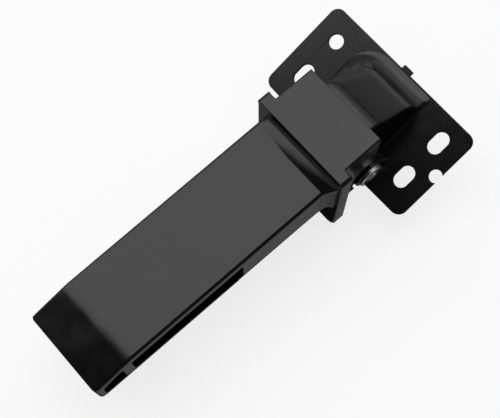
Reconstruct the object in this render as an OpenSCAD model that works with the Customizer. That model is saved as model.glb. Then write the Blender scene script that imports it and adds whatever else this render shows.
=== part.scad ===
// Spring-loaded lid hinge: a leg that drops into a machine base, a head with a seat flange,
// and a lid plate that turns on a hollow pin and is lifted by two springs through a cam.
// X runs along the hinge pin, Y from the leg's tip towards the lid plate, Z up from the leg's back.
// The origin is on the flange's seat face, on the mid-plane, level with the hinge pin.

/* [Leg] */
// Width of the leg across its sides
leg_w = 28.6; // [27:0.1:30]
// Thickness of the leg from back to top
leg_t = 15.8; // [15:0.1:17]
// Length of the leg below the seat face
leg_len = 87; // [85:1:95]
// Height of the leg's top above the hinge axis
leg_top = 19; // [18.8:0.1:19.2]
// Wall of the leg moulding
wall = 1.6; // [1.4:0.1:1.8]
// Length of the sloping lead-in at the tip
slope_len = 13; // [11:0.5:14]
// Drop of the lead-in at the very tip
slope_drop = 3.2; // [2:0.2:3.6]
// Height of solid side wall left above the windows
window_rim = 4; // [3.6:0.1:4.4]
// Start of the long window, measured from the seat face
long_from = 33.8; // [33.8:0.1:36]
// End of the long window, measured from the seat face
long_to = 74.2; // [70:0.1:74.5]
// Start of the short window, measured from the seat face
short_from = 77.5; // [77.2:0.1:78]
// End of the short window, measured from the seat face
short_to = 84.6; // [84:0.1:84.8]

/* [Head] */
// Width of the head across its cheeks
head_w = 28.9; // [28.6:0.1:29.2]
// Height of the head's flat top above the hinge axis
cap_top = 25.2; // [25.2:0.1:26]
// How far the flat top reaches past the hinge axis
cap_reach = 1.9; // [1.6:0.1:2]
// Width of the seat flange
flange_w = 35.2; // [34:0.1:36]
// Thickness of the seat flange
flange_t = 4; // [3.8:0.1:4.2]
// How far the seat flange reaches below the hinge axis
flange_drop = 14.5; // [12:0.5:16]
// Distance from the seat face to the hinge axis
hinge_y = 15.8; // [15.6:0.1:16]

/* [Lid plate] */
// Fold of the lid plate above the straight line when fully open, in degrees
fold = 22; // [20:1:24]
// Length of the plate along the hinge
plate_w = 60.8; // [58:0.2:64]
// Plate edge nearest the hinge, measured from the hinge axis
plate_near = -3.5; // [-3.6:0.1:-3.2]
// Plate edge furthest from the hinge
plate_far = 29.3; // [29:0.1:31]
// Thickness of the sheet
sheet_t = 1.5; // [1.2:0.1:1.6]
// Distance from the hinge axis down to the plate's upper face
plate_below = 4.5; // [4.4:0.1:4.6]
// Hole spacing along the hinge
hole_pitch_x = 45; // [44:0.5:46]
// Hole spacing across the plate
hole_pitch_u = 14.3; // [14:0.1:14.6]
// Middle of the hole pattern, measured from the hinge axis
hole_mid_u = 13.8; // [13.6:0.1:14]
// Diameter of the screw hole and width of the slots
hole_d = 4.8; // [4.4:0.1:5]
// End-to-end length of the slots
slot_len = 7.5; // [7:0.1:8]

/* [Mechanism] */
// Base radius of the lifting cam
cam_base_r = 7; // [6.9:0.1:7.1]
// Cam lead already wound off when fully open, in degrees
cam_lead = 40; // [38:1:42]
// Opening travel of the lid, in degrees
travel = 68; // [60:1:68]
// Diameter of the hollow hinge pin
pin_d = 6; // [5.8:0.1:6.2]
// Mean radius of the lift springs' coils
spring_r = 4.05; // [3.9:0.05:4.1]
// Diameter of the spring wire
wire_d = 1.4; // [1.2:0.1:1.5]
// Number of coil turns
turns = 6.5; // [6:0.5:7]

/* [Hidden] */
$fn = 48;
eps = 0.01;
slip = 0.05;                                  // radial play of turning and sliding fits
tip_chamfer = 0.8;
tip_corner = 1.4;                             // plan radius of the tip's corners
draft = 0.3;                                  // narrowing of the leg on each side, root to tip
leg_back = leg_top - leg_t;
cover_t = 1.2;
cavity_top = leg_top - wall;
cavity_floor = leg_back + wall;
cavity_half = leg_w / 2 - wall;
chamber_half = 11.4;                          // half width of the spring chamber
chamber_end = 33.6;                           // where the spring chamber ends below the seat
cover_from = -chamber_end - 2;                // upper end of the back cover
rib_t = 1.6;
root_pocket = 8;                              // length of the wide pocket for the head's tongues
fairing_left = 2.9;
fairing_right = 3.9;
fairing_lip = 0.5;
gusset_x = 16.4;                              // how far the gusset reaches sideways
drum_r = 23.8;                                // largest radius that the drum sweeps
drum_clear = 0.25;
lip_relief = 0.65;
cheek_t = 1.7;
sill_z = 0.8;                                  // top of the flange wall below the opening
cheek_recess_r = 7.6;
cheek_recess_x = 13.5;                        // outer face of the cheek around the pin
boss_r = 6.1;
boss_inner_x = 10.7;
bush_r = 4.2;
bush_flange_r = 5.4;
bush_flange_t = 0.5;
ear_in = 14.05;
ear_t = 1.2;
ear_r = 5.2;
washer_t = 0.4;
washer_r = 4.3;
pin_r = pin_d / 2;
pin_bore_r = 1.9;
pin_head_r = 3.95;
pin_head_t = 0.55;
pin_seat_x = ear_in + ear_t + washer_t;
tongue_half = 7.2;
tongue_floor = cavity_floor + 0.1;
tongue_top = 8.6;
wear_t = 0.8;
contact_gap = 0.08;                           // gap between the cam and the wear plate at rest
cam_half = 7.9;
cam_reach_y = hinge_y - cam_base_r * cam_lead * PI / 180 - contact_gap;
slider_front = -0.1;
slider_len = 9;
slider_play = 0.2;
pocket_depth = 4;
pocket_r = 5;
seat_t = 2.4;
seat_front = -(chamber_end - rib_t - seat_t);
spring_x = 5.4;
spring_z = (cavity_top + cavity_floor) / 2;
spring_start = slider_front - slider_len + pocket_depth;
rod_r = 1.5;
rod_end = -36;
arm_in = 8;
arm_t = 1.6;
hub_r = 5.4;
shell_t = 1.8;
ridge_half = 9.7;
foot_half = 12.9;
foot_from = 6.6;
foot_to = 24.6;
ridge_far = [22.8, 6.9];                      // lower ridge of the drum, in plate axes
ridge_near = [11.4, 20.7];                    // upper ridge of the drum, in plate axes
lead_edge = [8.9, 21.7];                      // edge of the drum that hides under the cap
screw_r = 1.25;
pilot_play = 0.05;
sink_r = 2.4;                                 // mouth of the countersinks
cover_screw_y = [-38.3, -75.85];

// Extrude a (x, z) outline along Y
module along_y(y0, y1) {
    translate([0, y1, 0]) rotate([90, 0, 0]) linear_extrude(y1 - y0) children();
}

// Extrude a (y, z) outline along X
module along_x(x0, x1) {
    translate([x0, 0, 0]) rotate([90, 0, 90]) linear_extrude(x1 - x0) children();
}

// A disc or ring-shaped bar along X
module bar_x(x0, x1, r) {
    translate([x0, 0, 0]) rotate([0, 90, 0]) cylinder(r = r, h = x1 - x0);
}

// Put children, drawn about the hinge pin, at the hinge
module at_hinge() {
    translate([0, hinge_y, 0]) children();
}

// Put children, drawn in plate axes about the hinge pin, at the fully open fold
module at_plate() {
    at_hinge() rotate([fold, 0, 0]) children();
}

module both_sides() {
    children();
    mirror([1, 0, 0]) children();
}

module rounded_rect(x0, y0, x1, y1, r) {
    translate([x0 + r, y0]) square([x1 - x0 - 2 * r, y1 - y0]);
    translate([x0, y0 + r]) square([x1 - x0, y1 - y0 - 2 * r]);
    for (x = [x0 + r, x1 - r], y = [y0 + r, y1 - r])
        translate([x, y]) circle(r);
}

module box(x0, y0, z0, x1, y1, z1) {
    translate([x0, y0, z0]) cube([x1 - x0, y1 - y0, z1 - z0]);
}

// ---- leg ----

// Side outline of the leg, lowered by inset all round, in (y, z)
module leg_outline(inset, root, floor_z) {
    top = leg_top - inset;
    tip = -leg_len + inset;
    polygon([
        [root, floor_z], [root, top], [-leg_len + slope_len, top],
        [tip, top - slope_drop * (1 - inset / slope_len)], [tip, floor_z + tip_chamfer], [tip + tip_chamfer, floor_z]
    ]);
}

// Plan of the leg between two heights, slightly narrower at the tip, where its corners are rounded
module leg_plan(z0, z1) {
    root = leg_w / 2;
    tip = root - draft;
    far = -leg_len;
    translate([0, 0, z0]) linear_extrude(z1 - z0) {
        polygon([
            [-root, 1], [root, 1], [tip, far + tip_corner], [tip - tip_corner, far],
            [tip_corner - tip, far], [-tip, far + tip_corner]
        ]);
        for (side = [-1, 1])
            translate([side * (tip - tip_corner), far + tip_corner]) circle(tip_corner);
    }
}

module leg_windows() {
    top = leg_top - window_rim;
    floor_z = leg_back + cover_t;
    corner = 1.2;
    drop = slope_drop / slope_len * (short_to - leg_len + slope_len);
    along_x(-leg_w, leg_w) {
        rounded_rect(-long_to, floor_z, -long_from, top, corner);
        polygon([
            [-short_to, floor_z], [-short_from, floor_z],
            [-short_from, top - 0.9], [-short_from - 0.9, top - 0.2],
            [-short_to + 0.9, top - drop], [-short_to, top - drop - 0.9]
        ]);
    }
}

// Ramp that carries the leg's top out to the flange, with a hollow-faced gusset below it on one side
module leg_fairing() {
    left = -leg_w / 2 + 1.4;
    right = leg_w / 2;
    low = leg_top - 1.2;
    hull() {
        box(left, -fairing_left, low, left + eps, 0, leg_top);
        box(-1, -fairing_right, low, right, 0, leg_top);
        box(left, -fairing_lip, low, left + eps, 0, leg_top + 0.65);
        box(gusset_x - eps, -fairing_lip, low, gusset_x, 0, leg_top + 1.75);
    }
    translate([0, 0, leg_back]) linear_extrude(leg_t - 1)
        polygon([
            [right - 1, -fairing_right - 1], [right, -fairing_right], [right + 0.25, -2.3],
            [right + 0.8, -1.2], [gusset_x - 0.2, -fairing_lip], [gusset_x - 0.2, 0], [right - 1, 0]
        ]);
}

// Space that the drum passes through, out to half_x on each side and down to floor_z
module drum_sweep(half_x, floor_z) {
    intersection() {
        at_hinge() bar_x(-half_x, half_x, drum_r + drum_clear);
        box(-half_x - 1, -leg_w, floor_z, half_x + 1, leg_w * 2, cap_top + 1);
    }
}

module cover_posts(r) {
    for (y = cover_screw_y)
        translate([0, y, leg_back + cover_t]) cylinder(r = r, h = cavity_top - leg_back - cover_t + eps);
}

module cover_pilots(depth) {
    for (y = cover_screw_y)
        translate([0, y, leg_back - eps]) cylinder(r = screw_r + pilot_play, h = depth);
}

module leg_housing() {
    color("#2b2b2d") difference() {
        union() {
            difference() {
                union() {
                    intersection() {
                        along_x(-leg_w, leg_w) leg_outline(0, 0, leg_back);
                        leg_plan(leg_back - 1, leg_top + 1);
                    }
                    leg_fairing();
                }
                // spring chamber, pocket for the head's tongues and the hollow behind the windows
                box(-chamber_half, -chamber_end + rib_t, cavity_floor, chamber_half, 1, cavity_top);
                box(-cavity_half, -root_pocket, cavity_floor, cavity_half, 1, cavity_top);
                box(-9, -chamber_end - eps, cavity_floor + 1.6, 9, -chamber_end + rib_t + eps, cavity_top - 1.6);
                intersection() {
                    along_x(-cavity_half, cavity_half) leg_outline(wall, 0, leg_back - 1);
                    box(-leg_w, -leg_len, leg_back + cover_t, leg_w, -chamber_end, leg_top);
                }
                // seat for the back cover
                box(-leg_w, -leg_len + wall, leg_back - 1, leg_w, cover_from, leg_back + cover_t + eps);
                leg_windows();
            }
            cover_posts(2.6);
        }
        cover_pilots(10);
        // room for the drum when the lid closes
        drum_sweep(chamber_half, cavity_floor);
    }
}

module back_cover() {
    color("#242426") difference() {
        intersection() {
            box(-leg_w, -leg_len + wall + slip, leg_back - 1, leg_w, cover_from - slip, leg_top);
            leg_plan(leg_back, leg_back + cover_t - eps);
        }
        cover_pilots(cover_t + 1);
        for (y = cover_screw_y)
            translate([0, y, leg_back - eps]) cylinder(r1 = sink_r, r2 = sink_r - 1.05, h = 1.1 + eps);
    }
}

// Countersunk self-tapping screw with its head at z = 0, pointing up
module countersunk_screw(length) {
    difference() {
        union() {
            cylinder(r1 = 2.25, r2 = screw_r, h = 1.1);
            cylinder(r = screw_r, h = length);
        }
        for (a = [0, 90])
            rotate([0, 0, a]) translate([-1.2, -0.25, -eps]) cube([2.4, 0.5, 0.6]);
    }
}

module back_cover_screws() {
    color("#8d9096") for (y = cover_screw_y)
        translate([0, y, leg_back + 0.05]) countersunk_screw(8);
}

// ---- head ----

// Cheek outline about the hinge pin, in (y, z)
module cheek_outline() {
    back = -hinge_y + flange_t - eps;
    polygon([[back, -boss_r], [0, -boss_r], [cap_reach, -4], [cap_reach, cap_top], [back, cap_top]]);
    circle(boss_r);
}

// Flange outline in (x, z), with small corners at the top and large ones at the bottom
module flange_outline() {
    half = flange_w / 2;
    rounded_rect(-half, 0, half, cap_top, 1.2);
    rounded_rect(-half, -flange_drop, half, leg_top, 4);
}

module head_tongue() {
    // snaps into the leg's root pocket
    box(chamber_half + 0.1, -root_pocket + 0.4, cavity_floor + 0.4, cavity_half - slip, eps, 13.5);
}

module head_housing() {
    x = head_w / 2;
    color("#2e2e30") difference() {
        union() {
            along_y(0, flange_t) flange_outline();
            at_hinge() both_sides() along_x(x - cheek_t, x) cheek_outline();
            at_hinge() both_sides() bar_x(boss_inner_x, x - cheek_t + eps, boss_r);
            box(-x, flange_t - eps, cap_top - 1.4, x, hinge_y + cap_reach, cap_top);
            both_sides() head_tongue();
        }
        // room for the drum under the cap and through the flange
        difference() {
            union() {
                drum_sweep(x - cheek_t, sill_z);
                // relief under the cap's lip
                at_hinge() intersection() {
                    bar_x(-x + cheek_t, x - cheek_t, drum_r + lip_relief);
                    box(-x, -1.5, cap_top - 4, x, cap_reach + 1, cap_top);
                }
            }
            both_sides() box(boss_inner_x, hinge_y - boss_r, sill_z - 1, x, hinge_y + boss_r, boss_r);
            both_sides() box(chamber_half + 0.1, -root_pocket, sill_z - 1, x, flange_t, drum_r);
        }
        at_hinge() both_sides() bar_x(cheek_recess_x, x + 1, cheek_recess_r);
        at_hinge() bar_x(-x, x, bush_r);
    }
}

module hinge_bush() {
    at_hinge() difference() {
        union() {
            bar_x(boss_inner_x, cheek_recess_x + bush_flange_t, bush_r);
            bar_x(cheek_recess_x, cheek_recess_x + bush_flange_t, bush_flange_r);
        }
        bar_x(boss_inner_x - 1, ear_in, pin_r + slip);
    }
}

module bush_right() {
    color("#1c1c1e") hinge_bush();
}

module bush_left() {
    color("#1c1c1e") mirror([1, 0, 0]) hinge_bush();
}

module stop_bumper() {
    color("#151515") box(-6, flange_t, -7, 6, hinge_y - 8.7, -2.6);
}

// ---- spring drive ----

module spring_seat() {
    color("#8d9096") difference() {
        box(-chamber_half + 0.1, seat_front - seat_t, cavity_floor + 0.1, chamber_half - 0.1, seat_front, cavity_top - 0.1);
        both_sides() translate([spring_x, seat_front + 1, spring_z]) rotate([90, 0, 0])
            cylinder(r = rod_r + slip, h = seat_t + 2);
    }
}

// Six-sided ring of wire at turn t of a coil along Y, from y0 to y1
function wire_ring(t, y0, y1, sides) = [
    for (k = [0 : sides - 1])
        let (a = 360 * t, b = 360 * k / sides, r = spring_r + wire_d / 2 * cos(b))
        [r * cos(a), y0 + (y1 - y0) * t / turns + wire_d / 2 * sin(b), r * sin(a)]
];

module coil(y0, y1) {
    sides = 6;
    steps = 16 * turns;
    points = [for (i = [0 : steps]) each wire_ring(i * turns / steps, y0, y1, sides)];
    skin = [
        for (i = [0 : steps - 1], k = [0 : sides - 1])
            let (n = (k + 1) % sides)
            [i * sides + k, i * sides + n, (i + 1) * sides + n, (i + 1) * sides + k]
    ];
    first = [for (k = [0 : sides - 1]) sides - 1 - k];
    last = [for (k = [0 : sides - 1]) steps * sides + k];
    polyhedron(points, concat(skin, [first, last]), convexity = 8);
}

module lift_spring() {
    lie = wire_d / 2 + 0.1;
    translate([spring_x, 0, spring_z]) coil(seat_front + lie, spring_start - lie);
}

module spring_right() {
    color("#7c7f85") lift_spring();
}

module spring_left() {
    color("#7c7f85") mirror([1, 0, 0]) lift_spring();
}

module slider() {
    color("#e3dfd3") difference() {
        union() {
            box(-chamber_half + slider_play, slider_front - slider_len, cavity_floor + slider_play,
                chamber_half - slider_play, slider_front, cavity_top - slider_play);
            box(-tongue_half, slider_front - eps, tongue_floor, tongue_half, cam_reach_y - wear_t, tongue_top);
        }
        both_sides() translate([spring_x, spring_start, spring_z]) rotate([90, 0, 0])
            cylinder(r = pocket_r, h = pocket_depth + 1);
        both_sides() translate([spring_x, slider_front + eps, spring_z]) rotate([90, 0, 0])
            cylinder(r = rod_r, h = slider_len);
    }
}

module wear_plate() {
    color("#9a9da3") box(-tongue_half, cam_reach_y - wear_t, tongue_floor, tongue_half, cam_reach_y, tongue_top);
}

module guide_rod() {
    translate([spring_x, slider_front, spring_z]) rotate([90, 0, 0])
        cylinder(r = rod_r, h = slider_front - rod_end);
}

module guide_rod_right() {
    color("#b4b7bc") guide_rod();
}

module guide_rod_left() {
    color("#b4b7bc") mirror([1, 0, 0]) guide_rod();
}

// Point of the cam's involute flank about the hinge pin, in (y, z), where a is the tangent angle
function flank(a) = let (s = cam_base_r * (cam_lead + 90 - a) * PI / 180)
    [cam_base_r * cos(a) - s * sin(a), cam_base_r * sin(a) + s * cos(a)];

module cam_body() {
    along_x(-cam_half, cam_half)
        polygon(concat([[4.5, 0], [6.2, 13.6]], [for (a = [90 - travel - 4 : 3 : 112]) flank(a)], [[-4, 2]]));
    bar_x(-cam_half, cam_half, hub_r - 0.2);
    // heel that meets the stop bumper
    along_x(-cam_half, cam_half)
        polygon([[-8.6, -6], [-8.6, -2], [-3, 2], [3, -3], [0, -5]]);
}

module cam_dowel_at(r, half) {
    at_hinge() translate([-half, 2.2, 9.8]) rotate([0, 90, 0]) cylinder(r = r, h = 2 * half);
}

module lift_cam() {
    color("#e9e6dc") difference() {
        at_hinge() cam_body();
        at_hinge() bar_x(-cam_half - 1, cam_half + 1, pin_r + slip);
        cam_dowel_at(1.5, cam_half + 1);
    }
}

module cam_dowel() {
    color("#b4b7bc") cam_dowel_at(1.5, arm_in + arm_t);
}

// ---- lid side ----

// Drum outline in plate axes (u, h); the inner one is pulled in by the shell's thickness
module drum_block(half_ridge, half_foot, near, far, lower, upper, edge, floor_h) {
    hull() {
        box(-half_foot, near, floor_h, half_foot, far, floor_h + eps);
        for (p = [lower, upper, edge])
            translate([-half_ridge, p[0], p[1]]) rotate([0, 90, 0]) cylinder(r = eps, h = 2 * half_ridge, $fn = 4);
    }
}

module drum_shell() {
    t = shell_t;
    difference() {
        drum_block(ridge_half, foot_half, foot_from, foot_to, ridge_far, ridge_near, lead_edge, -plate_below);
        drum_block(ridge_half - t, foot_half - t, foot_from - 4, foot_to - t,
            ridge_far - [1.9, 0.9], ridge_near - [1.1, 2], lead_edge - [3, 2], -plate_below - eps);
    }
}

module drum_foot() {
    hull() {
        box(-16.4, foot_from, -plate_below, 16.4, foot_to + 2.7, -plate_below + 0.3);
        box(-foot_half - 0.2, foot_from, -plate_below + 1.7, foot_half + 0.2, foot_to, -plate_below + 1.8);
    }
}

module drum_screw_places() {
    for (x = [-8.2, 8.2], u = [11, 22])
        translate([x, u, -plate_below]) children();
}

module drum_cover() {
    color("#262628") difference() {
        at_plate() union() {
            drum_shell();
            difference() {
                drum_foot();
                box(-foot_half + shell_t, foot_from - 1, -6, foot_half - shell_t, foot_to - shell_t, 0);
            }
            drum_screw_places() cylinder(r = 2.4, h = 5);
            both_sides() along_x(arm_in, arm_in + arm_t) {
                circle(hub_r);
                polygon([[-2, 4.8], [4.8, -3.5], [foot_from + 2, -plate_below], [foot_to - 3, -plate_below],
                    ridge_far - [1.2, 0.6], ridge_near - [0.6, 1.2], lead_edge - [1, 1]]);
            }
            both_sides() bar_x(arm_in, boss_inner_x - 0.2, hub_r);
        }
        at_hinge() bar_x(-ear_in, ear_in, pin_r + slip);
        cam_dowel_at(1.5, arm_in + arm_t + 0.01);
        at_plate() drum_screw_places() translate([0, 0, -1]) cylinder(r = screw_r + pilot_play, h = 5.4);
    }
}

module lid_ear() {
    along_x(ear_in, ear_in + ear_t) {
        circle(ear_r);
        polygon([[plate_near, -plate_below - eps], [-ear_r + 0.6, 0], [ear_r - 0.2, 0], [ear_r + 1.3, -plate_below - eps]]);
    }
}

module plate_outline() {
    half = plate_w / 2;
    difference() {
        union() {
            rounded_rect(-half, plate_near, half, plate_far, 3);
            // stub left by the blanking strip
            translate([-1.8, plate_far - 1]) square([3.6, 2.4]);
        }
        // clearance for the head between the ears
        translate([-ear_in, plate_near - 1]) square([2 * ear_in, 5.4 - plate_near + 1]);
        // key notch in one short edge
        translate([half - 1.3, hole_mid_u - 0.4]) circle(2.1);
        translate([half - 1.3, hole_mid_u - 2.1]) square([2, 3.4]);
        translate([-hole_pitch_x / 2, hole_mid_u + hole_pitch_u / 2]) circle(hole_d / 2);
        for (p = [[-1, -1], [1, -1], [1, 1]])
            translate([p[0] * hole_pitch_x / 2, hole_mid_u + p[1] * hole_pitch_u / 2]) plate_slot();
    }
}

module plate_slot() {
    r = hole_d / 2;
    reach = slot_len / 2 - r;
    translate([-r, -reach]) square([2 * r, 2 * reach]);
    for (y = [-reach, reach]) translate([0, y]) circle(r);
}

module lid_plate() {
    color("#1d1d1f") difference() {
        at_plate() union() {
            translate([0, 0, -plate_below - sheet_t]) linear_extrude(sheet_t) plate_outline();
            both_sides() lid_ear();
        }
        at_hinge() bar_x(-plate_w, plate_w, pin_r + slip);
        at_plate() drum_screw_places() translate([0, 0, -sheet_t - eps]) {
            cylinder(r = screw_r + pilot_play, h = sheet_t + 1);
            cylinder(r1 = sink_r, r2 = sink_r - 1.05, h = 1.1 + eps);
        }
    }
}

module drum_screws() {
    color("#8d9096") at_plate() drum_screw_places() translate([0, 0, -sheet_t + 0.05]) countersunk_screw(5.4);
}

module hinge_pin() {
    color("#c9ccd1") at_hinge() difference() {
        union() {
            bar_x(-pin_seat_x, pin_seat_x, pin_r);
            both_sides() bar_x(pin_seat_x, pin_seat_x + pin_head_t, pin_head_r);
        }
        bar_x(-plate_w, plate_w, pin_bore_r);
    }
}

module pin_washer() {
    at_hinge() difference() {
        bar_x(ear_in + ear_t, pin_seat_x, washer_r);
        bar_x(ear_in, pin_seat_x + 1, pin_r + slip);
    }
}

module washer_right() {
    color("#a7aab0") pin_washer();
}

module washer_left() {
    color("#a7aab0") mirror([1, 0, 0]) pin_washer();
}

leg_housing();
back_cover();
back_cover_screws();
head_housing();
stop_bumper();
bush_left();
bush_right();
spring_seat();
spring_left();
spring_right();
slider();
wear_plate();
guide_rod_left();
guide_rod_right();
lid_plate();
drum_cover();
drum_screws();
lift_cam();
cam_dowel();
hinge_pin();
washer_left();
washer_right();
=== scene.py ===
"""Looks of the document lid hinge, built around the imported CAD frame.

Outlines, tables, rules and the camera are in millimetres, which MM turns into metres. The floor, the
table and the light are in metres.
"""

import math

import bmesh
import bpy
from mathutils import Euler, Matrix, Vector


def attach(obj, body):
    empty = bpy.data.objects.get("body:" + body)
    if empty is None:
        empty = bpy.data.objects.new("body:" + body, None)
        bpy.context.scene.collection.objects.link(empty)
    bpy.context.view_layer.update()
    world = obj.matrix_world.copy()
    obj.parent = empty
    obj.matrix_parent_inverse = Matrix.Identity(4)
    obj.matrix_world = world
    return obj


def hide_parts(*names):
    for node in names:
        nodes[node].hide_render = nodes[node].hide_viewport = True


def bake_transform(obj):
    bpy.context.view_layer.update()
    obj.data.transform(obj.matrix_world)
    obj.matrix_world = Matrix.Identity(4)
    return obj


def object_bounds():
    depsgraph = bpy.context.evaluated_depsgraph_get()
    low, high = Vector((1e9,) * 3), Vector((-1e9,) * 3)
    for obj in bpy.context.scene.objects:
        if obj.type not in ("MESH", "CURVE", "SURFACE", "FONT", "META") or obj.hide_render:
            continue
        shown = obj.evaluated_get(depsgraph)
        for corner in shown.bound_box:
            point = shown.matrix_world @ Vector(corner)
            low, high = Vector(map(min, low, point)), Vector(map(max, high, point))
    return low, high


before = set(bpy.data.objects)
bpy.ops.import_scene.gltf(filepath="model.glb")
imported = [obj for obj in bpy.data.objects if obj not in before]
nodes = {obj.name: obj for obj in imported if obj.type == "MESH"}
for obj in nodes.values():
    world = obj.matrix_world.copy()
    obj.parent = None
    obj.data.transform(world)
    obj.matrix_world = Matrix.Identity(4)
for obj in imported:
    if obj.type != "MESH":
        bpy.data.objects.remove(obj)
cad_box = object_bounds()

MM = 0.001
FOLD = math.radians(22)          # fold of the lid plate above the leg's line
HINGE_Y = 15.8                   # hinge axis ahead of the seat face, mm
PLATE_BELOW = 4.5                # plate's upper face below the hinge axis, mm
CAD_WELD = 2e-6                  # points of a CAD mesh closer than this are one, m
OWN_WELD = 1e-6                  # the same for meshes made here, m


# ---------------------------------------------------------------- materials

# Features per metre of the noise behind each effect
MOTTLE = 90
GLOSS = 260
SINK = 55
METAL_GRAIN = 900


def new_material(name):
    material = bpy.data.materials.new(name)
    material.use_nodes = True
    return material, material.node_tree, material.node_tree.nodes["Principled BSDF"]


def noise(tree, scale, detail, streak=(1, 1, 1)):
    """Noise in object space. Scale counts features per metre; a streak under 1 draws them out on its axis."""
    place = tree.nodes.new("ShaderNodeTexCoord")
    stretch = tree.nodes.new("ShaderNodeMapping")
    stretch.inputs["Scale"].default_value = streak
    texture = tree.nodes.new("ShaderNodeTexNoise")
    texture.inputs["Scale"].default_value = scale
    texture.inputs["Detail"].default_value = detail
    tree.links.new(place.outputs["Object"], stretch.inputs["Vector"])
    tree.links.new(stretch.outputs["Vector"], texture.inputs["Vector"])
    return texture.outputs["Fac"]


def ramp(tree, source, low, high):
    """Maps the middle of a 0..1 value onto the span from one colour to another."""
    node = tree.nodes.new("ShaderNodeValToRGB")
    for element, place, colour in zip(node.color_ramp.elements, (0.3, 0.7), (low, high)):
        element.position = place
        element.color = (*colour, 1)
    tree.links.new(source, node.inputs["Fac"])
    return node.outputs["Color"]


def add_bump(tree, shader, source, strength, distance):
    node = tree.nodes.new("ShaderNodeBump")
    node.inputs["Strength"].default_value = strength
    node.inputs["Distance"].default_value = distance
    tree.links.new(source, node.inputs["Height"])
    tree.links.new(node.outputs["Normal"], shader.inputs["Normal"])
    return node


def grey(value):
    """A slightly cool grey, which also serves as a roughness."""
    return (value, value, value * 1.03)


def plastic(name, dark, light, rough_low, rough_high, grain, grain_depth,
            tint=(1, 1, 1.03), ior=1.5, wave=0.0):
    """Moulded plastic: slight mottle, uneven gloss, a fine grain and, if asked, slow sink waves."""
    material, tree, shader = new_material(name)
    dark, light = ([value * part for part in tint] for value in (dark, light))
    mottle = noise(tree, MOTTLE, 4)
    tree.links.new(ramp(tree, mottle, dark, light), shader.inputs["Base Color"])
    gloss = noise(tree, GLOSS, 3)
    tree.links.new(ramp(tree, gloss, grey(rough_low), grey(rough_high)), shader.inputs["Roughness"])
    fine = add_bump(tree, shader, noise(tree, grain, 2), 0.12, grain_depth)
    if wave:
        # the grain rides on the waves
        slow = add_bump(tree, shader, noise(tree, SINK, 1), 1.0, wave)
        tree.links.new(slow.outputs["Normal"], fine.inputs["Normal"])
        tree.links.new(fine.outputs["Normal"], shader.inputs["Normal"])
    shader.inputs["IOR"].default_value = ior
    return material


def metal(name, low, high, rough_low, rough_high, streak):
    """Drawn or plated steel: a fine grain, drawn out into lines by streak, and a slightly uneven gloss."""
    material, tree, shader = new_material(name)
    lines = noise(tree, METAL_GRAIN, 3, streak)
    tree.links.new(ramp(tree, lines, low, high), shader.inputs["Base Color"])
    tree.links.new(ramp(tree, lines, grey(rough_low), grey(rough_high)), shader.inputs["Roughness"])
    add_bump(tree, shader, lines, 0.1, 0.00002)
    shader.inputs["Metallic"].default_value = 1.0
    return material


# Each plastic: range of the base colour, range of the roughness, grain per metre and depth of the grain
leg_plastic = plastic("leg_plastic", 0.003, 0.005, 0.15, 0.20, 5000, 0.00001, ior=1.47, wave=0.0003)
head_plastic = plastic("head_plastic", 0.005, 0.007, 0.20, 0.27, 5000, 0.00001, ior=1.48)
drum_plastic = plastic("drum_plastic", 0.006, 0.009, 0.20, 0.25, 3500, 0.00001, ior=1.47)
coated_sheet = plastic("coated_sheet", 0.007, 0.009, 0.17, 0.22, 1800, 0.00001, (1.15, 0.97, 1), 1.34)
rubber = plastic("rubber", 0.012, 0.02, 0.6, 0.75, 3000, 0.00004)
acetal = plastic("acetal", 0.72, 0.80, 0.34, 0.42, 2500, 0.00002, (1, 0.96, 0.87))
black_acetal = plastic("black_acetal", 0.008, 0.012, 0.3, 0.38, 2500, 0.00001)
zinc = metal("zinc", (0.46, 0.47, 0.49), (0.60, 0.61, 0.63), 0.28, 0.42, (1, 1, 1))
pin_steel = metal("pin_steel", (0.80, 0.80, 0.82), (0.93, 0.93, 0.95), 0.26, 0.34, (0.15, 1, 1))
spring_steel = metal("spring_steel", (0.20, 0.20, 0.21), (0.30, 0.30, 0.31), 0.30, 0.42, (1, 1, 1))


# ---------------------------------------------------------------- mesh tools

def finish_piece(obj, body, material, stands_for):
    """Gives a piece its material and body, and hides the CAD nodes it stands for."""
    obj.data.materials.clear()
    obj.data.materials.append(material)
    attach(obj, body)
    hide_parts(*stands_for)


def smooth_by_angle(mesh, degrees):
    """Shades smooth, keeping edges over this angle sharp."""
    limit = math.radians(degrees)
    work = bmesh.new()
    work.from_mesh(mesh)
    for face in work.faces:
        face.smooth = True
    for edge in work.edges:
        edge.smooth = edge.is_manifold and edge.calc_face_angle(0) < limit
    work.to_mesh(mesh)
    work.free()


def middle(edge):
    return (edge.verts[0].co + edge.verts[1].co) / (2 * MM)


def along(edge):
    return (edge.verts[1].co - edge.verts[0].co).normalized()


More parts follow.
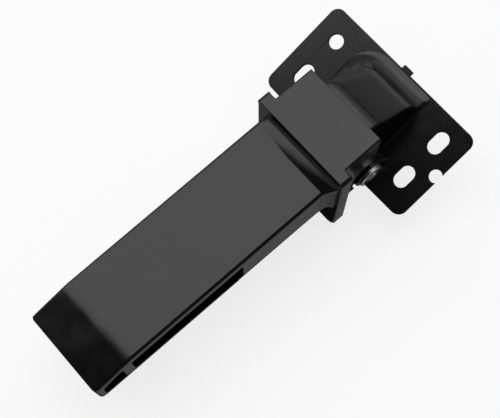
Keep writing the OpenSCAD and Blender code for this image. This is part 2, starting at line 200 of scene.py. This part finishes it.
def rounded_copy(node, rules, material, body, flat_faces=False):
    """A copy of a CAD node with chosen edges rounded.

    Each rule is (test of an edge's middle and direction, width in mm), and the first that fits counts.
    With flat_faces the triangles of each flat face are merged first.
    """
    work = bmesh.new()
    work.from_mesh(nodes[node].data)
    bmesh.ops.remove_doubles(work, verts=work.verts, dist=CAD_WELD)
    if flat_faces:
        flat = math.radians(1.0)
        bmesh.ops.dissolve_limit(work, angle_limit=flat, verts=work.verts, edges=work.edges)
    weight = work.edges.layers.float.new("bevel_weight_edge")
    widest = max(width for test, width in rules)
    corner = math.radians(12)
    for edge in work.edges:
        if edge.is_manifold and edge.calc_face_angle(0) > corner:
            for test, width in rules:
                if test(middle(edge), along(edge)):
                    edge[weight] = width / widest
                    break
    mesh = bpy.data.meshes.new(node + "_skin")
    work.to_mesh(mesh)
    work.free()
    smooth_by_angle(mesh, 14.5)
    obj = bpy.data.objects.new(node + "_skin", mesh)
    bpy.context.scene.collection.objects.link(obj)
    bevel = obj.modifiers.new("rounded_edges", "BEVEL")
    bevel.limit_method = "WEIGHT"
    bevel.width = widest * MM
    bevel.segments = 4
    bevel.use_clamp_overlap = False
    bevel.miter_outer = "MITER_ARC"
    even = obj.modifiers.new("even_normals", "WEIGHTED_NORMAL")
    even.keep_sharp = True
    finish_piece(obj, body, material, [node])


def mesh_object(name, points, faces, smooth_degrees):
    """An object from points in mm of the shared frame."""
    mesh = bpy.data.meshes.new(name)
    mesh.from_pydata([Vector(p) * MM for p in points], [], faces)
    work = bmesh.new()
    work.from_mesh(mesh)
    bmesh.ops.remove_doubles(work, verts=work.verts, dist=OWN_WELD)
    bmesh.ops.recalc_face_normals(work, faces=work.faces)
    work.to_mesh(mesh)
    work.free()
    smooth_by_angle(mesh, smooth_degrees)
    obj = bpy.data.objects.new(name, mesh)
    bpy.context.scene.collection.objects.link(obj)
    return obj


def join_parts(name, parts, smooth_degrees):
    """One object from several (points, faces) pairs."""
    points, faces = [], []
    for part_points, part_faces in parts:
        start = len(points)
        points.extend(part_points)
        faces.extend([[i + start for i in face] for face in part_faces])
    return mesh_object(name, points, faces, smooth_degrees)


def from_plate(x, u, h):
    """A point in mm about the hinge, with u along the plate and h away from it, moved to the shared frame."""
    return (x, HINGE_Y + u * math.cos(FOLD) - h * math.sin(FOLD), u * math.sin(FOLD) + h * math.cos(FOLD))


def wall_and_ends(count):
    """Faces of a solid whose two ends are rings of this many points."""
    wall = [[i, (i + 1) % count, (i + 1) % count + count, i + count] for i in range(count)]
    return wall + [list(range(count)), list(range(count, 2 * count))]


def prism(outline, x0, x1):
    """A solid from a closed outline in plate axes, between x0 and x1."""
    points = [from_plate(x, u, h) for x in (x0, x1) for u, h in outline]
    return points, wall_and_ends(len(outline))


def turned(profile, steps):
    """A ring turned about the hinge axis from a closed loop of (x, radius)."""
    count = len(profile)
    points = []
    for step in range(steps):
        angle = 2 * math.pi * step / steps
        points.extend([from_plate(x, r * math.cos(angle), r * math.sin(angle)) for x, r in profile])
    faces = []
    for step in range(steps):
        after = (step + 1) % steps
        for i in range(count):
            j = (i + 1) % count
            faces.append([step * count + i, step * count + j, after * count + j, after * count + i])
    return points, faces


def rounded_path(corners, steps):
    """An open path through (u, h, radius) corners, each turned into a smooth bend."""
    path = [Vector(corners[0][:2])]
    for before, here, after in zip(corners, corners[1:], corners[2:]):
        point = Vector(here[:2])
        back = (Vector(before[:2]) - point).normalized()
        ahead = (Vector(after[:2]) - point).normalized()
        reach = here[2] / math.tan(back.angle(ahead) / 2)
        start, end = point + back * reach, point + ahead * reach
        for step in range(steps + 1):
            t = step / steps
            path.append(start * (1 - t) ** 2 + point * (2 * t * (1 - t)) + end * t ** 2)
    path.append(Vector(corners[-1][:2]))
    return path


# ---------------------------------------------------------------- camera, light and floor

def place_camera():
    """A long-lens camera high over the hinge, turned so that the leg runs to the lower left."""
    spot = Matrix.Translation(Vector((66.75, -74.30, 294.67)) * MM)
    turn = Euler([math.radians(angle) for angle in (16.541, 0.56, 48.386)]).to_matrix().to_4x4()
    data = bpy.data.cameras.new("camera")
    data.sensor_width = 36
    data.lens = 73.92
    data.clip_start = 0.01
    data.clip_end = 20
    camera = bpy.data.objects.new("camera", data)
    camera.matrix_world = spot @ turn
    bpy.context.scene.collection.objects.link(camera)
    bpy.context.scene.camera = camera


def towards(tree, value, start, end):
    """Rises from 0 to 1 as value goes from start to end."""
    span = tree.nodes.new("ShaderNodeMapRange")
    span.inputs["From Min"].default_value = start
    span.inputs["From Max"].default_value = end
    tree.links.new(value, span.inputs["Value"])
    return span.outputs["Result"]


def stage_disc(name, radius, x, y, gap):
    """A matt disc that can also glow white, a small gap below the lowest point of the CAD, in metres."""
    spot = (x, y, cad_box[0][2] - gap)
    bpy.ops.mesh.primitive_circle_add(vertices=64, radius=radius, fill_type="NGON", location=spot)
    disc = bpy.context.object
    disc.name = name
    material, tree, shader = new_material(name + "_surface")
    shader.inputs["Base Color"].default_value = (0.25, 0.25, 0.25, 1)
    shader.inputs["Roughness"].default_value = 0.9
    shader.inputs["Emission Color"].default_value = (1, 1, 1, 1)
    disc.data.materials.append(material)
    return disc, tree, shader


def pale_floor():
    """A white floor that lights nothing and isn't mirrored in the hinge."""
    floor, _, shader = stage_disc("floor", radius=4, x=0, y=0, gap=0.0002)
    shader.inputs["Emission Strength"].default_value = 0.80
    floor.visible_glossy = False
    floor.visible_diffuse = False


def painted_shade_table():
    """A small dull table that the camera can't see, glowing with painted light and painted shade, so that
    glossy sides pick up a shaded floor.
    """
    table, tree, shader = stage_disc("table", radius=0.09, x=0.01, y=-0.045, gap=0.0004)
    place = tree.nodes.new("ShaderNodeTexCoord")
    split = tree.nodes.new("ShaderNodeSeparateXYZ")
    tree.links.new(place.outputs["Object"], split.inputs["Vector"])
    # painted shade and painted light: dark under the leg where its shadow falls, glowing on its right, and
    # half as bright on its left
    right = towards(tree, split.outputs["X"], 0.006, 0.0075)
    left = towards(tree, split.outputs["X"], -0.024, -0.028)
    both = tree.nodes.new("ShaderNodeMath")
    both.operation = "MULTIPLY_ADD"
    both.inputs[1].default_value = 0.5
    tree.links.new(left, both.inputs[0])
    tree.links.new(right, both.inputs[2])
    glow = tree.nodes.new("ShaderNodeMath")
    glow.operation = "MULTIPLY"
    glow.inputs[1].default_value = 0.16
    tree.links.new(both.outputs["Value"], glow.inputs[0])
    tree.links.new(glow.outputs["Value"], shader.inputs["Emission Strength"])
    table.visible_camera = False


def wall_shade(tree, height, steps):
    """Brightness of the room by height; steps are (height from -1 to 1, brightness)."""
    node = tree.nodes.new("ShaderNodeValToRGB")
    elements = node.color_ramp.elements
    while len(elements) < len(steps):
        elements.new(0.5)
    for element, (place, value) in zip(elements, steps):
        element.position = (place + 1) / 2
        element.color = (value, value, value, 1)
    tree.links.new(height, node.inputs["Fac"])
    return node.outputs["Color"]


# Room brightness by height, from straight down (-1) to straight up (1)
FAR_ROOM = ((-1, 0.2), (-0.55, 0.26), (-0.3, 0.42), (0, 0.7), (0.12, 0.5), (0.28, 0.04), (0.36, 0.12),
            (0.45, 0.7), (0.7, 1.0), (1, 0.5))
NEAR_ROOM = ((-1, 0.2), (-0.5, 0.3), (-0.2, 0.5), (0, 0.4), (0.3, 0.08), (1, 0.03))
LEFT_ROOM = ((-1, 0.2), (-0.3, 0.3), (0.1, 0.4), (0.5, 0.4), (1, 0.03))
RIGHT_ROOM = ((-1, 0.2), (-0.3, 0.16), (0.1, 0.12), (1, 0.03))


def blend_rooms(tree, amount, low, high):
    mix = tree.nodes.new("ShaderNodeMix")
    mix.data_type = "RGBA"
    tree.links.new(amount, mix.inputs["Factor"])
    tree.links.new(low, mix.inputs["A"])
    tree.links.new(high, mix.inputs["B"])
    return mix.outputs["Result"]


def compass(tree, place):
    """The level heading of a direction, as east and north parts that don't depend on its height."""
    flat = tree.nodes.new("ShaderNodeVectorMath")
    flat.operation = "MULTIPLY"
    flat.inputs[1].default_value = (1, 1, 0)
    tree.links.new(place, flat.inputs[0])
    heading = tree.nodes.new("ShaderNodeVectorMath")
    heading.operation = "NORMALIZE"
    tree.links.new(flat.outputs["Vector"], heading.inputs[0])
    split = tree.nodes.new("ShaderNodeSeparateXYZ")
    tree.links.new(heading.outputs["Vector"], split.inputs["Vector"])
    return split.outputs["X"], split.outputs["Y"]


def room_light():
    """A dim room with a bright far end."""
    world = bpy.data.worlds.new("room")
    bpy.context.scene.world = world
    world.use_nodes = True
    tree = world.node_tree
    place = tree.nodes.new("ShaderNodeTexCoord").outputs["Generated"]
    split = tree.nodes.new("ShaderNodeSeparateXYZ")
    tree.links.new(place, split.inputs["Vector"])
    height = towards(tree, split.outputs["Z"], -1, 1)
    across, ahead = compass(tree, place)
    left = towards(tree, across, 0.2, -0.2)
    far = towards(tree, ahead, 0.85, 0.95)
    near = towards(tree, ahead, -0.25, -0.75)
    right_wall = wall_shade(tree, height, RIGHT_ROOM)
    room = blend_rooms(tree, left, right_wall, wall_shade(tree, height, LEFT_ROOM))
    room = blend_rooms(tree, near, room, wall_shade(tree, height, NEAR_ROOM))
    room = blend_rooms(tree, far, room, wall_shade(tree, height, FAR_ROOM))
    tree.links.new(room, tree.nodes["Background"].inputs["Color"])


def overhead_light():
    """One large soft light high on the left, turned a little and slid along its short side."""
    data = bpy.data.lights.new("overhead", "AREA")
    data.shape = "RECTANGLE"
    data.size = 1.5
    data.size_y = 1.0
    data.energy = 9.07
    light = bpy.data.objects.new("overhead", data)
    centre = Vector((-0.6, 0.2, 1.0))
    away = centre.normalized()
    level = away.cross(Vector((0, 0, 1))).normalized()
    roll = math.radians(22.5)
    slide = 0.25
    long_side = level * math.cos(roll) + level.cross(away) * math.sin(roll)
    short_side = away.cross(long_side)
    turn = Matrix((long_side, short_side, away)).transposed().to_4x4()
    light.matrix_world = Matrix.Translation(centre - short_side * slide) @ turn
    light.visible_camera = False
    bpy.context.scene.collection.objects.link(light)


place_camera()
pale_floor()
painted_shade_table()
room_light()
overhead_light()
bpy.context.scene.view_settings.view_transform = "Standard"
bpy.context.scene.view_settings.look = "None"


# ---------------------------------------------------------------- drum cover

def blend_steps(value, table):
    """Linear steps between (place, value) pairs."""
    if value <= table[0][0]:
        return table[0][1]
    for (p0, v0), (p1, v1) in zip(table, table[1:]):
        if value <= p1:
            return v0 + (v1 - v0) * (value - p0) / (p1 - p0)
    return table[-1][1]


# Half width and plan corner radius of the drum's crisp right side and soft left side, by height
RIGHT_HALF = ((-4.5, 11.9), (-3.6, 11.2), (-1.8, 10.9), (6.9, 10.5), (13.8, 10.2), (21.7, 10.0))
RIGHT_BEND = ((-4.5, 1.6), (-1.8, 1.0), (21.7, 0.8))
LEFT_HALF = ((-4.5, 15.6), (-3.4, 14.6), (-2.3, 12.4), (6.9, 12.1), (11.5, 11.0), (21.7, 10.6))
LEFT_BEND = ((-4.5, 9.5), (6.9, 8), (13.8, 6.5), (21.7, 3))

NEAR_EDGE = 6.6          # near edge of the drum's sides where they stand on the plate
NEAR_LEAN = 0.088        # how far that edge moves out per mm of height
DRUM_WALL = 1.8
DRUM_ROOF = 1.4
ROOF_FROM = 6.5          # height from which the shell also has the roof's thickness
HOLLOW_FAR = 24.6        # far limit of the levels inside the shell, before the wall is taken off
ARM_IN = 8               # inner and outer face of the two arms inside the shell
ARM_OUT = 9.6
HUB_END = 10.5
HUB_RADIUS = 5.4
PIN_BORE = 3.05
LIP_END = 13.9
BOSS_RADIUS = 1.7
BOSS_TOP = 0.5
BOSS_PLACES = [(x, u) for x in (-8.2, 8.2) for u in (11, 22)]
SIDE_STEPS = 4
CORNER_STEPS = 8


def drum_side(near, far, half, bend):
    """Half a level: along the side from its near edge, round the corner and to the middle of the far end."""
    # the corner never quite vanishes, and never takes up the whole side
    bend = min(max(bend, 0.4), (far - near) * 0.9)
    side = [(half, near + (far - bend - near) * t / SIDE_STEPS) for t in range(SIDE_STEPS)]
    for step in range(CORNER_STEPS + 1):
        angle = math.radians(90 * step / CORNER_STEPS)
        side.append((half - bend + bend * math.cos(angle), far - bend + bend * math.sin(angle)))
    return side + [(side[-1][0] * (1 - t / SIDE_STEPS), far) for t in range(1, SIDE_STEPS)]


def drum_ring(u_far, h, inset):
    """One level of the drum's wall in plan: up one side, round the far end and down the other side."""
    near = NEAR_EDGE + (h + PLATE_BELOW) * NEAR_LEAN
    far = max(u_far - inset, near + 0.2)
    right = drum_side(near, far, blend_steps(h, RIGHT_HALF) - inset, blend_steps(h, RIGHT_BEND) - inset)
    left = drum_side(near, far, blend_steps(h, LEFT_HALF) - inset, blend_steps(h, LEFT_BEND) - inset)
    return right + [(0, far)] + [(-x, u) for x, u in reversed(left)]


def drum_shell():
    """The drum's wall as a loft from its flared foot over both ridges to the edge under the cap."""
    foot = [(28.7, -4.5), (28.0, -4.36), (27.4, -4.17), (26.8, -3.88), (26.2, -3.53), (25.5, -3.08),
            (24.9, -2.65), (24.4, -2.2), (24.1, -1.7)]
    rise = rounded_path([(24.0, -1.2, 0), (23.0, 6.6, 9), (13.0, 19.4, 8), (8.9, 21.7, 0)], 8)
    levels = foot + [tuple(p) for p in rise]
    outer = [[from_plate(x, u, h) for x, u in drum_ring(far, h, 0)] for far, h in levels]
    inner = []
    for far, h in levels:
        low = max(-PLATE_BELOW, h - (DRUM_ROOF if h > ROOF_FROM else 0))
        ring = drum_ring(min(far, HOLLOW_FAR), low, DRUM_WALL)
        inner.append([from_plate(x, u, low) for x, u in ring])
    width = len(outer[0])
    rows = outer + inner[::-1]
    points = [p for row in rows for p in row]
    faces = []
    for r in range(len(rows)):
        after = (r + 1) % len(rows)
        for c in range(width - 1):
            faces.append([r * width + c, r * width + c + 1, after * width + c + 1, after * width + c])
    last = len(rows) - 1
    for r in range(len(outer) - 1):
        for c in (0, width - 1):
            back = last - r
            faces.append([r * width + c, (r + 1) * width + c, (back - 1) * width + c, back * width + c])
    return points, faces


def screw_boss(x, u, count=24):
    """A post inside the drum that stands on the plate, for one of the drum's screws."""
    turns = [2 * math.pi * i / count for i in range(count)]
    points = []
    for h in (-PLATE_BELOW, BOSS_TOP):
        for angle in turns:
            across, along_plate = BOSS_RADIUS * math.cos(angle), BOSS_RADIUS * math.sin(angle)
            points.append(from_plate(x + across, u + along_plate, h))
    return points, wall_and_ends(count)


def drum_parts():
    parts = [drum_shell()]
    arm = [(-2, 4.8), (4.8, -3.5), (8.6, -4.5), (21.6, -4.5), (21.6, 6.3), (10.8, 19.5), (7.9, 20.7)]
    # lip that laps the end of the plate's clearance
    lip = [(4.8, -4.5), (7.4, -4.5), (7.4, -4.1), (4.8, -4.1)]
    for side in (-1, 1):
        parts.append(prism(arm, side * ARM_IN, side * ARM_OUT))
        near, far = side * ARM_IN, side * HUB_END
        hub = [(near, PIN_BORE), (near, HUB_RADIUS), (far, HUB_RADIUS), (far, PIN_BORE)]
        parts.append(turned(hub, 48))
        parts.append(prism(lip, side * ARM_OUT, side * LIP_END))
    for x, u in BOSS_PLACES:
        parts.append(screw_boss(x, u))
    return parts


drum = join_parts("drum_skin", drum_parts(), 40)
finish_piece(drum, "lid", drum_plastic, ["drum_cover"])


# ---------------------------------------------------------------- hinge pin

def pin_profile():
    """Hollow pin with both ends rolled over the washers."""
    right = [(15.4, 3.0), (15.65, 3.25), (15.68, 3.9), (15.8, 4.15), (16.05, 4.2), (16.3, 4.0), (16.45, 3.6),
             (16.45, 3.15), (16.3, 2.7), (15.9, 2.3), (15.3, 2.05), (14.6, 1.9)]
    left = [(-x, r) for x, r in reversed(right)]
    return right + left


pin = join_parts("pin_skin", [turned(pin_profile(), 72)], 50)
finish_piece(pin, "lid", pin_steel, ["hinge_pin"])


# ---------------------------------------------------------------- leg, head and lid plate

LEG_SIDE = 13.4          # edges farther out than this are on the leg's two sides
WHOLE_LEG = (-84.8, -5)  # stretch of the leg, from the windows near the tip to the head


def lengthwise(mid, way):
    """Whether an edge runs along the leg on one of its sides."""
    return abs(way.y) > 0.9 and abs(mid.x) > LEG_SIDE


def leg_rules():
    start, end = WHOLE_LEG
    return [
        # the fold where the slope at the tip begins
        (lambda mid, way: abs(way.x) > 0.9 and abs(mid.y + 74) < 0.5 and mid.z > 18, 2.0),
        # the long upper edges
        (lambda mid, way: lengthwise(mid, way) and mid.z > 15 and mid.y < end, 0.9),
        # the long lower edges
        (lambda mid, way: lengthwise(mid, way) and mid.z < 3.4, 0.4),
        # the rims of the windows
        (lambda mid, way: start < mid.y < end and abs(mid.x) > LEG_SIDE, 0.2),
    ]


def head_rules():
    return [
        # arcs at the corners, too short to round
        (lambda mid, way: mid.z > 23.9 and abs(mid.x) > 16.3, 0),
        # the cap's edge over the leg, then the rest of the cap's edge
        (lambda mid, way: mid.z > 24.5 and mid.y < 0.5, 0.15),
        (lambda mid, way: mid.z > 24.5, 0.45),
        # the outer edges of the cheeks
        (lambda mid, way: abs(mid.x) > 12.7 and mid.y > 3.5, 0.35),
        # the rim of the flange
        (lambda mid, way: mid.y < 4.2 and (abs(mid.x) > 15 or mid.z < -10), 0.5),
        # what is left low down
        (lambda mid, way: mid.z < -5, 0.3),
    ]


rounded_copy("leg_housing", leg_rules(), leg_plastic, "base", True)
rounded_copy("head_housing", head_rules(), head_plastic, "base")
rounded_copy("lid_plate", [(lambda mid, way: True, 0.22)], coated_sheet, "lid")


# ---------------------------------------------------------------- lift springs

def squeezed_spring(name):
    """A copy of a lift spring's CAD mesh in spring steel, standing in for the hidden CAD node."""
    mesh = nodes[name].data.copy()
    spring = bpy.data.objects.new(name + "_coil", mesh)
    bpy.context.scene.collection.objects.link(spring)
    spring.data.materials.clear()
    spring.data.materials.append(spring_steel)
    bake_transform(spring)
    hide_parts(name)


squeezed_spring("spring_left")
squeezed_spring("spring_right")


# ---------------------------------------------------------------- a material for every CAD node

MATERIAL_OF = {
    "leg_housing": leg_plastic, "back_cover": leg_plastic, "back_cover_screws": zinc,
    "head_housing": head_plastic, "stop_bumper": rubber,
    "bush_left": black_acetal, "bush_right": black_acetal,
    "spring_seat": zinc, "spring_left": spring_steel, "spring_right": spring_steel,
    "slider": acetal, "wear_plate": zinc, "guide_rod_left": pin_steel, "guide_rod_right": pin_steel,
    "lid_plate": coated_sheet, "drum_cover": drum_plastic, "drum_screws": zinc, "lift_cam": acetal,
    "cam_dowel": pin_steel, "hinge_pin": pin_steel, "washer_left": zinc, "washer_right": zinc,
}

for name, node in nodes.items():
    node.data.materials.clear()
    node.data.materials.append(MATERIAL_OF[name])
